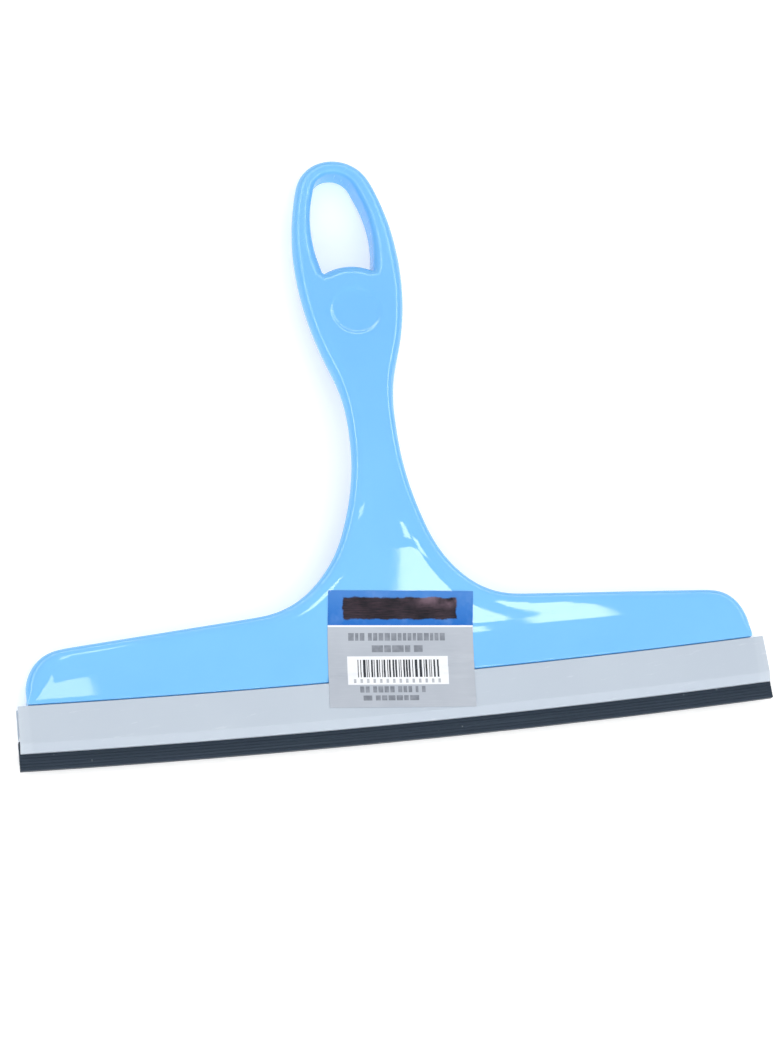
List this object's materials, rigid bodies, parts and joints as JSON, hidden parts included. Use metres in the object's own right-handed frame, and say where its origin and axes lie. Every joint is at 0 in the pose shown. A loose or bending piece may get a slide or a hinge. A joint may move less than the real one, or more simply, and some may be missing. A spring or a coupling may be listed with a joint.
{
  "type": "window squeegee",
  "caption": "Household window squeegee: a one-piece plastic handle with a hanging loop and wing-shaped head, a clip-on blade holder and a ribbed rubber blade",
  "frame": {"origin": "under the middle of the whole squeegee, on the surface it lies on", "axes": "+X along the blade, +Y up the handle towards the loop, +Z out of the front face; the squeegee lies on its back"},
  "size_m": [0.28, 0.2226, 0.0247],
  "materials": {
    "blue_plastic": "glossy moulded polypropylene",
    "grey_plastic": "satin extruded plastic",
    "rubber": "matt ribbed rubber",
    "label_film": "coated sticker"
  },
  "bodies": {
    "root": {"handle_and_head": "blue_plastic", "blade_holder": "grey_plastic", "rubber_blade": "rubber", "label": "label_film"}
  },
  "joints": []
}
